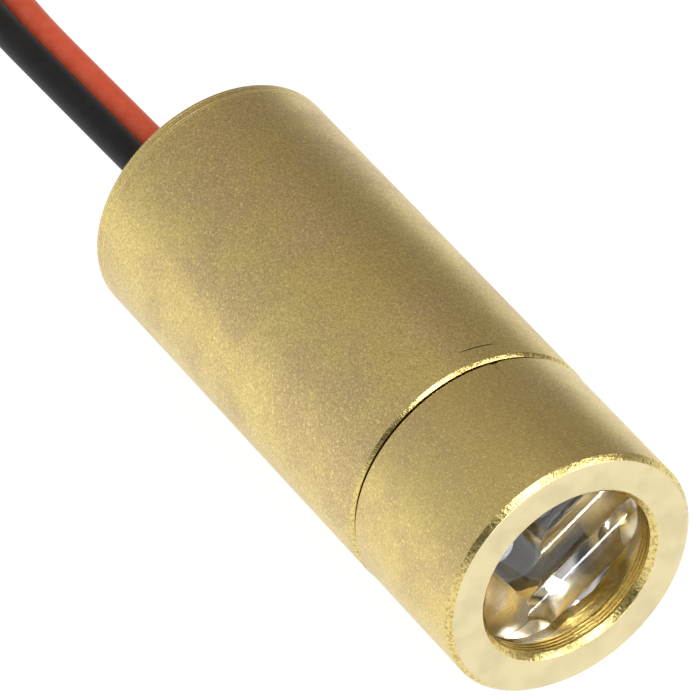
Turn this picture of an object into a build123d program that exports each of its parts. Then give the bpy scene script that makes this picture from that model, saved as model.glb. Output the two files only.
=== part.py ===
"""Brass laser diode module of the cross-line type, lying on its side.

The beam leaves along +X. The origin is the middle of the housing on its optical
axis, and the surface that the module lies on is at z = -BARREL_D / 2.
"""

import math
import os

from build123d import *

os.makedirs("parts", exist_ok=True)

# Housing: a barrel with a screwed-on front cap, whose radius is a little smaller
BARREL_D = 9.0
BARREL_WALL = 0.6
BARREL_EDGE = 0.15
CAP_STEP = 0.03
CAP_LENGTH = 5.6
CAP_FRONT_EDGE = 0.18
JOINT_EDGE = 0.1
THREAD_WALL = 0.47
THREAD_PLAY = 0.02

# Lip round the front opening, and the lens's pocket behind it
LIP = 0.72
LIP_REACH = 0.67
MOUTH_CHAMFER = 0.18
LENS_SHOULDER = 0.3
LENS_PLAY = 0.05

# Cross-line lens
LENS_RIM = 0.25
LENS_RIM_RISE = 0.76
LENS_BASE = 1.0
RIB_PITCH = 1.68
RIB_RADIUS = 1.2
SEAM_ANGLE = 79.25
SEAM_VALLEY = 0.1

# Threaded ring behind the lens, and the barrel's neck behind the ring
LENS_RING_T = 0.7
LENS_RING_W = 2.0
NECK_GAP = 0.08
NECK_WALL = 0.75

# Lens cell, collimating lens and the spring behind the cell
CELL_PLAY = 0.02
CELL_LENGTH = 2.8
CELL_BEHIND_NECK = 0.6
CELL_MOUTH_LAP = 0.6
CELL_MOUTH_CHAMFER = 0.3
CELL_SHOULDER = 0.8
CELL_WALL = 1.23
CELL_SLOT_W = 0.7
CELL_SLOT_DEPTH = 0.4
COLLIMATOR_PLAY = 0.02
COLLIMATOR_EDGE_T = 1.0
COLLIMATOR_FRONT_SAG = 0.5
COLLIMATOR_REAR_SAG = 0.25
SPRING_PLAY = 0.1
SPRING_WIRE = 0.36
SPRING_SIDES = 4
SPRING_LENGTH = 1.8
SPRING_TURNS = 2.5

# Laser diode in its seat
BULKHEAD_T = 1.4
HEADER_D = 5.6
HEADER_T = 1.2
HEADER_PLAY = 0.02
HEADER_NOTCH = 0.5
CAN_HOLE_PLAY = 0.05
CAN_PIN_GAP = 0.1
CAN_FLANGE_W = 0.4
CAN_FLANGE_T = 0.25
CAN_HEIGHT = 2.3
CAN_WALL = 0.2
CAN_EDGE = 0.12
WINDOW_PLAY = 0.4
WINDOW_LAP = 0.4
WINDOW_T = 0.25
POST_W = 1.2
POST_T = 0.7
POST_HEIGHT = 1.3
SUBMOUNT_W = 0.7
SUBMOUNT_LENGTH = 0.9
SUBMOUNT_T = 0.2
CHIP_W = 0.3
CHIP_LENGTH = 0.6
CHIP_T = 0.12
PHOTODIODE_W = 0.6
PHOTODIODE_T = 0.2
PIN_D = 0.45
PIN_CIRCLE_D = 2.54
PIN_INSIDE = 0.4
SEAL_T = 0.225
CLAMP_RING_T = 0.8
CLAMP_RING_W = 1.58
CLAMP_RING_PLAY = 0.02
SPANNER_SLOT_W = 0.9
SPANNER_SLOT_DEPTH = 0.35

# Driver board: the pins' pads, room for the parts, and the leads' pads. Each part's
# sizes are along the board, across it and up from it.
BOARD_GAP = 0.7
BOARD_PLAY = 0.27
BOARD_CORNER = 0.4
PIN_LAP = 1.7
PART_ROOM = 2.8
PAD_EDGE = 0.1
CHIP_BODY = (1.3, 2.2, 1.0)
CHIP_TAPER = 6
CHIP_Y = 1.2
CHIP_LEG = (0.4, 0.35, 0.15)
CHIP_LEG_PITCH = 0.95
CAPACITOR = (1.25, 2.0, 0.9)
CAPACITOR_EDGE = 0.08
CAPACITOR_Y = -1.7
RESISTOR = (1.6, 0.8, 0.45)
RESISTOR_PITCH = 4.0
RESISTOR_SETBACK = 1.2
TRIMMER = (2.6, 2.6, 1.0)
TRIMMER_SETBACK = 0.3
TRIMMER_ROTOR_D = 2.0
TRIMMER_ROTOR_T = 0.25
TRIMMER_SLOT_W = 0.4
SOLDER_D = 1.3
SOLDER_FILM = 0.05
SOLDER_LENGTH = 1.1

# Rear end: room behind the board, potting and the two leads
CORE_ROOM = 1.4
PLUG_T = 1.0
PLUG_RECESS = 0.4
LEAD_D = 1.1
LEAD_SIDES = 16
LEAD_CORE_D = 0.5
CORE_SIDES = 8
CORE_BEND = 0.3
LEAD_HOLE_PLAY = 0.01

# Coil of the leads' spare length, lying on the surface behind the module
COIL_X = -44.0
COIL_Y = -2.7
COIL_MEAN_D = 11.0
COIL_ENTRY = 4.9
COIL_TAIL = 6.0
TIE_W = 1.8
TIE_T = 0.22
BARE_END_D = 0.6
BARE_END_LENGTH = 4.0
BARE_END_EDGE = 0.15

# Each lead's route, chosen by hand: out of the housing, down to the surface, to the coil
RED_ROUTE = [
    (-9.1, 0.40, -0.80),
    (-17.4, 0.40, -1.13),
    (-25.6, 0.42, -1.44),
    (-33.7, 3.35, -3.95),
    (-39.1, 3.35, -3.95),
]
BLACK_ROUTE = [
    (-9.1, -0.70, -0.53),
    (-17.4, -0.70, -0.88),
    (-25.8, -0.69, -1.22),
    (-33.9, 2.25, -3.95),
    (-39.1, 2.25, -3.95),
]

# Depths of the stacked pieces, which add up to the housing's length
rib_rise = RIB_RADIUS - math.sqrt(RIB_RADIUS**2 - (RIB_PITCH / 2) ** 2)
lens_depth = LIP + LENS_RIM_RISE + rib_rise + LENS_BASE + LENS_RING_T
cell_depth = NECK_GAP + CELL_BEHIND_NECK + CELL_LENGTH + SPRING_LENGTH
diode_depth = BULKHEAD_T + HEADER_T + CLAMP_RING_T
board_length = PIN_LAP + PART_ROOM + SOLDER_LENGTH + PAD_EDGE
rear_depth = BOARD_GAP + board_length + CORE_ROOM + PLUG_T + PLUG_RECESS
length = lens_depth + cell_depth + diode_depth + rear_depth

# Stations along the optical axis, from the front to the rear
front_x = length / 2
rear_x = -length / 2
joint_x = front_x - CAP_LENGTH
lip_x = front_x - LIP
crest_x = lip_x - LENS_RIM_RISE
valley_x = crest_x - rib_rise
lens_back_x = valley_x - LENS_BASE
lens_ring_back_x = lens_back_x - LENS_RING_T
neck_x = lens_ring_back_x - NECK_GAP
cell_front_x = neck_x - CELL_BEHIND_NECK
cell_back_x = cell_front_x - CELL_LENGTH
collimator_x = cell_front_x - CELL_SHOULDER
bulkhead_x = cell_back_x - SPRING_LENGTH
seat_x = bulkhead_x - BULKHEAD_T
header_back_x = seat_x - HEADER_T
can_front_x = seat_x + CAN_HEIGHT
clamp_ring_back_x = header_back_x - CLAMP_RING_T
board_front_x = clamp_ring_back_x - BOARD_GAP
pin_end_x = board_front_x - PIN_LAP
board_back_x = board_front_x - board_length
lead_pad_x = board_back_x + PAD_EDGE
plug_back_x = rear_x + PLUG_RECESS
plug_front_x = plug_back_x + PLUG_T

# Radii and heights that several pieces share
barrel_r = BARREL_D / 2
bore_r = barrel_r - BARREL_WALL
cap_r = barrel_r - CAP_STEP
thread_r = cap_r - THREAD_WALL
lens_r = thread_r - LENS_SHOULDER
aperture_r = lens_r - LIP_REACH
cell_r = thread_r - NECK_WALL
collimator_r = cell_r - CELL_WALL - COLLIMATOR_PLAY
cell_mouth_r = collimator_r - CELL_MOUTH_LAP
header_r = HEADER_D / 2
pin_r = PIN_CIRCLE_D / 2
seal_r = PIN_D / 2 + SEAL_T
can_bore_r = pin_r + PIN_D / 2 + CAN_PIN_GAP
can_r = can_bore_r + CAN_WALL
can_flange_r = can_r + CAN_FLANGE_W
can_hole_r = can_flange_r + CAN_HOLE_PLAY
window_r = can_bore_r - WINDOW_PLAY
board_top_z = -PIN_D / 2 - SOLDER_FILM
board_bottom_z = -pin_r + PIN_D / 2 + SOLDER_FILM
board_w = 2 * (math.sqrt(bore_r**2 - board_bottom_z**2) - BOARD_PLAY)
floor_z = -BARREL_D / 2
coil_inner_r = COIL_MEAN_D / 2 - LEAD_D
coil_outer_r = COIL_MEAN_D / 2 + LEAD_D


def save(piece, name):
    """Label a finished piece and write it to its own file."""
    piece.part.label = name
    export_step(piece.part, f"parts/{name}.step")


def ring_at(radius, plane_x):
    """A round edge of the given radius that lies in the plane x = plane_x."""
    return lambda edge: (
        edge.geom_type == GeomType.CIRCLE
        and abs(edge.radius - radius) < 1e-4
        and abs(edge.center().X - plane_x) < 1e-4
    )


# Front cap: lip, lens pocket and the inner thread for the barrel's neck
with BuildPart() as front_cap:
    with BuildSketch(Plane.YZ.offset(joint_x)):
        Circle(cap_r)
    extrude(amount=CAP_LENGTH)
    with Locations(Plane.YZ.offset(front_x)):
        Hole(radius=aperture_r)
    with Locations(Plane.YZ.offset(joint_x)):
        Hole(radius=lens_r + LENS_PLAY, depth=lip_x - joint_x)
        Hole(radius=thread_r, depth=lens_back_x - joint_x)
    chamfer(front_cap.edges().filter_by(ring_at(cap_r, front_x)), CAP_FRONT_EDGE)
    chamfer(front_cap.edges().filter_by(ring_at(cap_r, joint_x)), JOINT_EDGE)
    chamfer(front_cap.edges().filter_by(ring_at(aperture_r, front_x)), MOUTH_CHAMFER)
save(front_cap, "front_cap")

# Barrel: threaded neck, bore for the lens cell, bulkhead with the diode's seat, rear bore
with BuildPart() as barrel:
    with BuildSketch(Plane.YZ.offset(rear_x)):
        Circle(barrel_r)
    extrude(amount=joint_x - rear_x)
    with BuildSketch(Plane.YZ.offset(joint_x)):
        Circle(thread_r - THREAD_PLAY)
    extrude(amount=neck_x - joint_x)
    with Locations(Plane.YZ.offset(neck_x)):
        Hole(radius=cell_r + CELL_PLAY, depth=neck_x - bulkhead_x)
        Hole(radius=can_hole_r)
    with Locations(Plane.YZ.offset(rear_x)):
        Hole(radius=header_r + HEADER_PLAY, depth=seat_x - rear_x)
        Hole(radius=bore_r, depth=header_back_x - rear_x)
    chamfer(barrel.edges().filter_by(ring_at(barrel_r, joint_x)), JOINT_EDGE)
    chamfer(barrel.edges().filter_by(ring_at(barrel_r, rear_x)), BARREL_EDGE)
    chamfer(barrel.edges().filter_by(ring_at(bore_r, rear_x)), BARREL_EDGE)
save(barrel, "barrel")

# Cross-line lens: two halves of cylindrical ribs that meet at a seam, inside a raised rim.
# The ribs of each half run at 45 degrees to the seam, so that the halves mirror each other.
seam = math.radians(SEAM_ANGLE)
seam_direction = Vector(0, math.cos(seam), math.sin(seam))
rib_angle = seam - math.radians(45)
rib_direction = Vector(0, math.cos(rib_angle), math.sin(rib_angle))
across_ribs = Vector(0, -math.sin(rib_angle), math.cos(rib_angle))
lens_field_r = lens_r - LENS_RIM
rib_phase = SEAM_VALLEY * math.sin(math.radians(45))
rib_count = math.ceil(lens_field_r / RIB_PITCH) + 1

with BuildPart() as ribs:
    rib_plane = Plane(origin=(valley_x, 0, 0), x_dir=across_ribs, z_dir=rib_direction)
    out_of_lens = 1 if rib_plane.y_dir.X > 0 else -1
    with BuildSketch(rib_plane):
        with BuildLine():
            start = rib_phase - rib_count * RIB_PITCH
            for n in range(2 * rib_count):
                low = (start + n * RIB_PITCH, 0)
                high = (start + (n + 0.5) * RIB_PITCH, out_of_lens * rib_rise)
                ThreePointArc(low, high, (start + (n + 1) * RIB_PITCH, 0))
            Polyline(
                (start, 0),
                (start, -out_of_lens * LENS_BASE),
                (-start + 2 * rib_phase, -out_of_lens * LENS_BASE),
                (-start + 2 * rib_phase, 0),
            )
        make_face()
    extrude(amount=lens_r, both=True)
    # keep the half disc on the beam's +Y side of the seam
    seam_plane = Plane(origin=(lens_back_x, 0, 0), x_dir=seam_direction, z_dir=(1, 0, 0))
    with BuildSketch(seam_plane):
        Circle(lens_field_r + LENS_RIM / 2)
        with Locations((0, lens_r)):
            Rectangle(4 * lens_r, 2 * lens_r, mode=Mode.SUBTRACT)
    extrude(amount=lip_x - lens_back_x, mode=Mode.INTERSECT)

with BuildPart() as cross_line_lens:
    add(ribs.part)
    mirror(ribs.part, about=Plane(origin=(0, 0, 0), z_dir=seam_direction.cross(Vector(1, 0, 0))))
    with BuildSketch(Plane.YZ.offset(lens_back_x)):
        Circle(lens_r)
        Circle(lens_field_r, mode=Mode.SUBTRACT)
    extrude(amount=lip_x - lens_back_x)
save(cross_line_lens, "cross_line_lens")

# Threaded ring that holds the lens against the lip, with two spanner slots
with BuildPart() as lens_retaining_ring:
    with BuildSketch(Plane.YZ.offset(lens_ring_back_x)):
        Circle(thread_r - THREAD_PLAY)
        Circle(thread_r - LENS_RING_W, mode=Mode.SUBTRACT)
    extrude(amount=LENS_RING_T)
    with BuildSketch(Plane.YZ.offset(lens_ring_back_x)):
        Rectangle(BARREL_D, SPANNER_SLOT_W)
    extrude(amount=SPANNER_SLOT_DEPTH, mode=Mode.SUBTRACT)
save(lens_retaining_ring, "lens_retaining_ring")

# Lens cell: threaded in the barrel, with a driver slot across its chamfered mouth
with BuildPart() as lens_cell:
    with BuildSketch(Plane.YZ.offset(cell_back_x)):
        Circle(cell_r)
    extrude(amount=CELL_LENGTH)
    with Locations(Plane.YZ.offset(cell_front_x)):
        Hole(radius=cell_mouth_r)
    with Locations(Plane.YZ.offset(cell_back_x)):
        Hole(radius=collimator_r + COLLIMATOR_PLAY, depth=collimator_x - cell_back_x)
    mouth = lens_cell.edges().filter_by(ring_at(cell_mouth_r, cell_front_x))
    chamfer(mouth, CELL_MOUTH_CHAMFER)
    with BuildSketch(Plane.YZ.offset(cell_front_x)):
        Rectangle(BARREL_D, CELL_SLOT_W)
    extrude(amount=-CELL_SLOT_DEPTH, mode=Mode.SUBTRACT)
save(lens_cell, "lens_cell")

# Collimating lens: a flat flange with a crowned middle on each side
with BuildPart() as collimating_lens:
    flange_x = collimator_x - COLLIMATOR_EDGE_T
    crown_r = cell_mouth_r
    with BuildSketch(Plane.XZ):
        with BuildLine():
            front_r = (crown_r**2 + COLLIMATOR_FRONT_SAG**2) / (2 * COLLIMATOR_FRONT_SAG)
            rear_r = (crown_r**2 + COLLIMATOR_REAR_SAG**2) / (2 * COLLIMATOR_REAR_SAG)
            RadiusArc((collimator_x, crown_r), (collimator_x + COLLIMATOR_FRONT_SAG, 0), front_r)
            RadiusArc((flange_x - COLLIMATOR_REAR_SAG, 0), (flange_x, crown_r), rear_r)
            Polyline(
                (collimator_x, crown_r),
                (collimator_x, collimator_r),
                (flange_x, collimator_r),
                (flange_x, crown_r),
            )
            Line((flange_x - COLLIMATOR_REAR_SAG, 0), (collimator_x + COLLIMATOR_FRONT_SAG, 0))
        make_face()
    revolve(axis=Axis.X)
save(collimating_lens, "collimating_lens")

# Spring of square wire between the cell and the bulkhead, with its ends ground flat
with BuildPart() as lens_spring:
    spring_pitch = SPRING_LENGTH / SPRING_TURNS
    coil_r = cell_r - SPRING_PLAY - SPRING_WIRE / 2
    with BuildLine():
        wire = Helix(
            pitch=spring_pitch,
            height=SPRING_LENGTH,
            radius=coil_r,
            center=(bulkhead_x, 0, 0),
            direction=(1, 0, 0),
        )
    with BuildSketch(Plane(origin=wire @ 0, z_dir=wire % 0)):
        RegularPolygon(SPRING_WIRE / 2, SPRING_SIDES)
    sweep(is_frenet=True)
    split(bisect_by=Plane.YZ.offset(bulkhead_x), keep=Keep.TOP)
    split(bisect_by=Plane.YZ.offset(cell_back_x), keep=Keep.BOTTOM)
save(lens_spring, "lens_spring")

# Diode header: round base with its notches and the heat-sink post inside the can
post_top_z = -SUBMOUNT_T - CHIP_T / 2
pin_places = [(pin_r, 0), (-pin_r, 0), (0, -pin_r)]
with BuildPart() as diode_base:
    with BuildSketch(Plane.YZ.offset(header_back_x)):
        Circle(header_r)
        with Locations((header_r, 0), (-header_r, 0)):
            Rectangle(HEADER_NOTCH, HEADER_NOTCH, rotation=45, mode=Mode.SUBTRACT)
        with Locations(*pin_places[:2]):
            Circle(seal_r, mode=Mode.SUBTRACT)
    extrude(amount=HEADER_T)
    with BuildSketch(Plane.YZ.offset(seat_x)):
        with Locations((0, post_top_z)):
            Rectangle(POST_W, POST_T, align=(Align.CENTER, Align.MAX))
    extrude(amount=POST_HEIGHT)
save(diode_base, "diode_base")

with BuildPart() as laser_submount:
    with BuildSketch(Plane.YZ.offset(seat_x + POST_HEIGHT)):
        with Locations((0, post_top_z)):
            Rectangle(SUBMOUNT_W, SUBMOUNT_T, align=(Align.CENTER, Align.MIN))
    extrude(amount=-SUBMOUNT_LENGTH)
save(laser_submount, "laser_submount")

with BuildPart() as laser_chip:
    with BuildSketch(Plane.YZ.offset(seat_x + POST_HEIGHT)):
        with Locations((0, post_top_z + SUBMOUNT_T)):
            Rectangle(CHIP_W, CHIP_T, align=(Align.CENTER, Align.MIN))
    extrude(amount=-CHIP_LENGTH)
save(laser_chip, "laser_chip")

with BuildPart() as monitor_photodiode:
    with BuildSketch(Plane.YZ.offset(seat_x)):
        with Locations((0, PHOTODIODE_W / 2 + CHIP_T)):
            Rectangle(PHOTODIODE_W, PHOTODIODE_W)
    extrude(amount=PHOTODIODE_T)
save(monitor_photodiode, "monitor_photodiode")

# Drawn can over the header, with its window
with BuildPart() as diode_can:
    with BuildSketch(Plane.YZ.offset(seat_x)):
        Circle(can_r)
    extrude(amount=CAN_HEIGHT)
    with BuildSketch(Plane.YZ.offset(seat_x)):
        Circle(can_flange_r)
    extrude(amount=CAN_FLANGE_T)
    with Locations(Plane.YZ.offset(can_front_x)):
        Hole(radius=window_r - WINDOW_LAP)
    with Locations(Plane.YZ.offset(seat_x)):
        Hole(radius=can_bore_r, depth=CAN_HEIGHT - CAN_WALL)
    chamfer(diode_can.edges().filter_by(ring_at(can_r, can_front_x)), CAN_EDGE)
save(diode_can, "diode_can")

with BuildPart() as diode_window:
    with BuildSketch(Plane.YZ.offset(can_front_x - CAN_WALL)):
        Circle(window_r)
    extrude(amount=-WINDOW_T)
save(diode_window, "diode_window")

# Three pins: two pass through glass seals, the third is welded to the header's back
with BuildPart() as diode_pins:
    with BuildSketch(Plane.YZ.offset(pin_end_x)):
        with Locations(*pin_places[:2]):
            Circle(PIN_D / 2)
    extrude(amount=seat_x + PIN_INSIDE - pin_end_x)
    with BuildSketch(Plane.YZ.offset(pin_end_x)):
        with Locations(pin_places[2]):
            Circle(PIN_D / 2)
    extrude(amount=header_back_x - pin_end_x)
save(diode_pins, "diode_pins")

with BuildPart() as diode_pin_seals:
    with BuildSketch(Plane.YZ.offset(header_back_x)):
        with Locations(*pin_places[:2]):
            Circle(seal_r)
            Circle(PIN_D / 2, mode=Mode.SUBTRACT)
    extrude(amount=HEADER_T)
save(diode_pin_seals, "diode_pin_seals")

# Threaded ring behind the header, with two spanner slots
with BuildPart() as diode_clamp_ring:
    clamp_ring_r = bore_r - CLAMP_RING_PLAY
    with BuildSketch(Plane.YZ.offset(clamp_ring_back_x)):
        Circle(clamp_ring_r)
        Circle(clamp_ring_r - CLAMP_RING_W, mode=Mode.SUBTRACT)
    extrude(amount=CLAMP_RING_T)
    with BuildSketch(Plane.YZ.offset(clamp_ring_back_x)):
        Rectangle(BARREL_D, SPANNER_SLOT_W)
    extrude(amount=SPANNER_SLOT_DEPTH, mode=Mode.SUBTRACT)
save(diode_clamp_ring, "diode_clamp_ring")

# Driver board, between the two upper pins and the lower one
with BuildPart() as driver_board:
    with BuildSketch(Plane.XY.offset(board_bottom_z)):
        with Locations((board_back_x + board_length / 2, 0)):
            RectangleRounded(board_length, board_w, BOARD_CORNER)
    extrude(amount=board_top_z - board_bottom_z)
save(driver_board, "driver_board")

# Parts on the board: the chip and the capacitor on top, the resistors and the trimmer below
parts_x = pin_end_x - PART_ROOM / 2
with BuildPart() as driver_chip:
    with BuildSketch(Plane.XY.offset(board_top_z + CHIP_LEG[2])):
        with Locations((parts_x, CHIP_Y)):
            Rectangle(CHIP_BODY[0], CHIP_BODY[1])
    extrude(amount=CHIP_BODY[2], taper=CHIP_TAPER)
    leg_x = (CHIP_BODY[0] + CHIP_LEG[0]) / 2 - CHIP_LEG[2] / 2
    leg_places = [(-leg_x, -CHIP_LEG_PITCH / 2), (-leg_x, CHIP_LEG_PITCH / 2), (leg_x, 0)]
    with BuildSketch(Plane.XY.offset(board_top_z)):
        with Locations(*[(parts_x + x, CHIP_Y + y) for x, y in leg_places]):
            Rectangle(CHIP_LEG[0], CHIP_LEG[1])
    extrude(amount=2 * CHIP_LEG[2])
save(driver_chip, "driver_chip")

with BuildPart() as driver_capacitor:
    with Locations((parts_x, CAPACITOR_Y, board_top_z)):
        Box(*CAPACITOR, align=(Align.CENTER, Align.CENTER, Align.MIN))
    fillet(driver_capacitor.edges().filter_by(Axis.Z), CAPACITOR_EDGE)
save(driver_capacitor, "driver_capacitor")

with BuildPart() as driver_resistors:
    with Locations((board_front_x - RESISTOR_SETBACK, 0, board_bottom_z)):
        with GridLocations(0, RESISTOR_PITCH, 1, 2):
            Box(*RESISTOR, align=(Align.CENTER, Align.CENTER, Align.MAX))
save(driver_resistors, "driver_resistors")

with BuildPart() as power_trimmer:
    trimmer_x = board_back_x + TRIMMER_SETBACK + TRIMMER[0] / 2
    with Locations((trimmer_x, 0, board_bottom_z)):
        Box(*TRIMMER, align=(Align.CENTER, Align.CENTER, Align.MAX))
    with BuildSketch(Plane.XY.offset(board_bottom_z - TRIMMER[2])):
        with Locations((trimmer_x, 0)):
            Circle(TRIMMER_ROTOR_D / 2)
            Rectangle(TRIMMER_ROTOR_D, TRIMMER_SLOT_W, mode=Mode.SUBTRACT)
    extrude(amount=-TRIMMER_ROTOR_T)
save(power_trimmer, "power_trimmer")


def run_radii(points):
    """One bend radius for each inner point of a route, as large as its two runs allow."""
    radii = []
    for before, here, after in zip(points, points[1:], points[2:]):
        arriving = Vector(*here) - Vector(*before)
        leaving = Vector(*after) - Vector(*here)
        half_turn = math.radians(arriving.get_angle(leaving)) / 2
        radii.append(0.45 * min(arriving.length, leaving.length) / math.tan(half_turn))
    return radii


def tube(points, diameter, sides):
    """A many-sided tube along straight runs joined by arcs, with its bend radii printed."""
    radii = run_radii(points)
    with BuildPart() as run:
        with BuildLine() as route:
            FilletPolyline(*points, radius=radii)
        path = route.wire()
        with BuildSketch(Plane(origin=path @ 0, z_dir=path % 0)) as section:
            RegularPolygon(diameter / 2, sides)
        sweep()
    ideal = section.sketch.area * path.length
    print(
        "radii", [round(r, 1) for r in radii],
        "length", round(path.length, 2),
        "volume against section times length", round(run.part.volume / ideal, 4),
    )
    return run


# Leads: straight out of the housing, then down to the surface and to the coil
red_lead = tube(RED_ROUTE, LEAD_D, LEAD_SIDES)
save(red_lead, "red_lead")
black_lead = tube(BLACK_ROUTE, LEAD_D, LEAD_SIDES)
save(black_lead, "black_lead")

# Stripped inner ends of the leads, from the potting to the board's pads
core_z = board_top_z + SOLDER_FILM + LEAD_CORE_D / 2
core_routes = []
for lead_route in (RED_ROUTE, BLACK_ROUTE):
    start_x, start_y, start_z = lead_route[0]
    pad_y = start_y + math.copysign(LEAD_CORE_D, start_y)
    core_routes.append(
        [
            (start_x - LEAD_CORE_D / 2, start_y, start_z),
            (board_back_x - CORE_BEND, pad_y, core_z),
            (lead_pad_x + SOLDER_LENGTH - PAD_EDGE, pad_y, core_z),
        ]
    )
lead_core_parts = [tube(core_route, LEAD_CORE_D, CORE_SIDES) for core_route in core_routes]
with BuildPart() as lead_cores:
    for core in lead_core_parts:
        add(core.part)
    for lead in (red_lead, black_lead):
        add(lead.part, mode=Mode.SUBTRACT)
save(lead_cores, "lead_cores")

# Solder: a round mound over each pin and each lead's end on the board
mounds = [(pin_end_x, y, board_top_z) for y in (pin_r, -pin_r)]
mounds += [(pin_end_x, 0, board_bottom_z)]
mounds += [(lead_pad_x, core_route[-1][1], board_top_z) for core_route in core_routes]
with BuildPart() as solder_joints:
    for mound_x, mound_y, mound_z in mounds:
        with BuildSketch(Plane.YZ.offset(mound_x)):
            with Locations((mound_y, mound_z)):
                Circle(SOLDER_D / 2)
        extrude(amount=SOLDER_LENGTH)
    add(driver_board.part, mode=Mode.SUBTRACT)
    add(diode_pins.part, mode=Mode.SUBTRACT)
    add(lead_cores.part, mode=Mode.SUBTRACT)
save(solder_joints, "solder_joints")

# Potting that closes the rear bore, with a shallow meniscus, round both leads
with BuildPart() as rear_plug:
    with BuildSketch(Plane.YZ.offset(plug_front_x)):
        Circle(bore_r)
    extrude(amount=plug_back_x - plug_front_x)
    for lead_route in (RED_ROUTE, BLACK_ROUTE):
        lead_line = Vector(*lead_route[1]) - Vector(*lead_route[0])
        with BuildSketch(Plane(origin=lead_route[0], z_dir=lead_line)):
            Circle(LEAD_D / 2 + LEAD_HOLE_PLAY)
        extrude(amount=length, both=True, mode=Mode.SUBTRACT)
save(rear_plug, "rear_plug")

# Coil of both leads, side by side: one turn on the surface and three quarters on top of it,
# where they arrive beside the coil and leave it on its other side, sloping down again
arriving_y = COIL_Y + COIL_MEAN_D / 2
leaving_y = COIL_Y - COIL_MEAN_D / 2
tail_x = COIL_X + COIL_TAIL
with BuildPart() as lead_coil:
    with BuildSketch(Plane.XY.offset(floor_z)):
        with Locations((COIL_X, COIL_Y)):
            Circle(coil_outer_r)
            Circle(coil_inner_r, mode=Mode.SUBTRACT)
        with Locations((COIL_X, arriving_y)):
            Rectangle(COIL_ENTRY, 2 * LEAD_D, align=(Align.MIN, Align.CENTER))
    extrude(amount=LEAD_D)
    with BuildSketch(Plane.XY.offset(floor_z + LEAD_D)):
        with Locations((COIL_X, COIL_Y)):
            Circle(coil_outer_r)
            Circle(coil_inner_r, mode=Mode.SUBTRACT)
            Rectangle(
                coil_outer_r, coil_outer_r, align=(Align.MIN, Align.MAX), mode=Mode.SUBTRACT
            )
    extrude(amount=LEAD_D)
    with BuildSketch(Plane.XZ.offset(-leaving_y)):
        with BuildLine():
            Polyline(
                (COIL_X, floor_z + LEAD_D),
                (COIL_X, floor_z + 2 * LEAD_D),
                (tail_x, floor_z + LEAD_D),
                (tail_x, floor_z),
                (tail_x - LEAD_D, floor_z),
                close=True,
            )
        make_face()
    extrude(amount=LEAD_D, both=True)
    with BuildSketch(Plane.XY.offset(floor_z)):
        with Locations((COIL_X - COIL_MEAN_D / 2, COIL_Y)):
            Rectangle(2 * LEAD_D + 1, TIE_W)
    extrude(amount=TIE_T, mode=Mode.SUBTRACT)
save(lead_coil, "lead_coil")

# Tie round the coil's two leads, under them and over them
with BuildPart() as coil_tie:
    with BuildSketch(Plane.XZ.offset(-COIL_Y)):
        with Locations((COIL_X - COIL_MEAN_D / 2, floor_z)):
            Rectangle(2 * (LEAD_D + TIE_T), 2 * (LEAD_D + TIE_T), align=(Align.CENTER, Align.MIN))
        with Locations((COIL_X - COIL_MEAN_D / 2, floor_z + TIE_T)):
            Rectangle(2 * LEAD_D, 2 * LEAD_D, align=(Align.CENTER, Align.MIN), mode=Mode.SUBTRACT)
    extrude(amount=TIE_W / 2, both=True)
    fillet(coil_tie.edges().filter_by(Axis.Y), TIE_T * 0.8)
    add(lead_coil.part, mode=Mode.SUBTRACT)
save(coil_tie, "coil_tie")

# Stripped and tinned far ends
for end_name, inward in (("red_lead_end", -1), ("black_lead_end", 1)):
    with BuildPart() as lead_end:
        with BuildSketch(Plane.YZ.offset(tail_x)):
            with Locations((leaving_y + inward * LEAD_D / 2, floor_z + LEAD_D / 2)):
                Circle(BARE_END_D / 2)
        extrude(amount=BARE_END_LENGTH)
        chamfer(lead_end.edges().group_by(Axis.X)[-1], BARE_END_EDGE)
    save(lead_end, end_name)
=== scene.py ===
"""Looks of the brass laser module: housing, cross-line lens, leads, coil and the stage around them."""

import math

import bmesh
import bpy
from bpy.props import BoolProperty, FloatProperty, FloatVectorProperty, IntProperty, PointerProperty
from mathutils import Matrix, Vector


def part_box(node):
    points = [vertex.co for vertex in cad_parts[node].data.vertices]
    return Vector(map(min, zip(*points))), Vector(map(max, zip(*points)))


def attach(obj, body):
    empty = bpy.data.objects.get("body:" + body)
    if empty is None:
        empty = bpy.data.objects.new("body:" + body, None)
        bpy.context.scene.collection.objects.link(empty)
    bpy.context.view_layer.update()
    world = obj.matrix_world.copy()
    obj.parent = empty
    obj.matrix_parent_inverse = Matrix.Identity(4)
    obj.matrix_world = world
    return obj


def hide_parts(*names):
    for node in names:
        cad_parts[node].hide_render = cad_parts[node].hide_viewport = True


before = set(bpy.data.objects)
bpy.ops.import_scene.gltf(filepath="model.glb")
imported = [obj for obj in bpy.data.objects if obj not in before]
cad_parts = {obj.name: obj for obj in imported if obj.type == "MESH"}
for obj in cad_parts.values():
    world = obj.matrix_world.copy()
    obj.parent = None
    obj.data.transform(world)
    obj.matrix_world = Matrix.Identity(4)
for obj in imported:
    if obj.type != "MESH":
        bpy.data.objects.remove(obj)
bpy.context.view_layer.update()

bl_info = {
    "name": "Laser module",
    "version": (1, 0, 0),
    "blender": (4, 5, 0),
    "location": "3D View > Sidebar > Laser module",
    "description": "Makes a brass laser module with a cross-line lens and two leads",
    "category": "Object",
}

MM = 0.001
BODY = "root"
WHITE = (1.0, 1.0, 1.0)


def reach(node):
    """Radius of a turned node about the beam axis, from its height."""
    low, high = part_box(node)
    return (high.z - low.z) / 2


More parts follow.
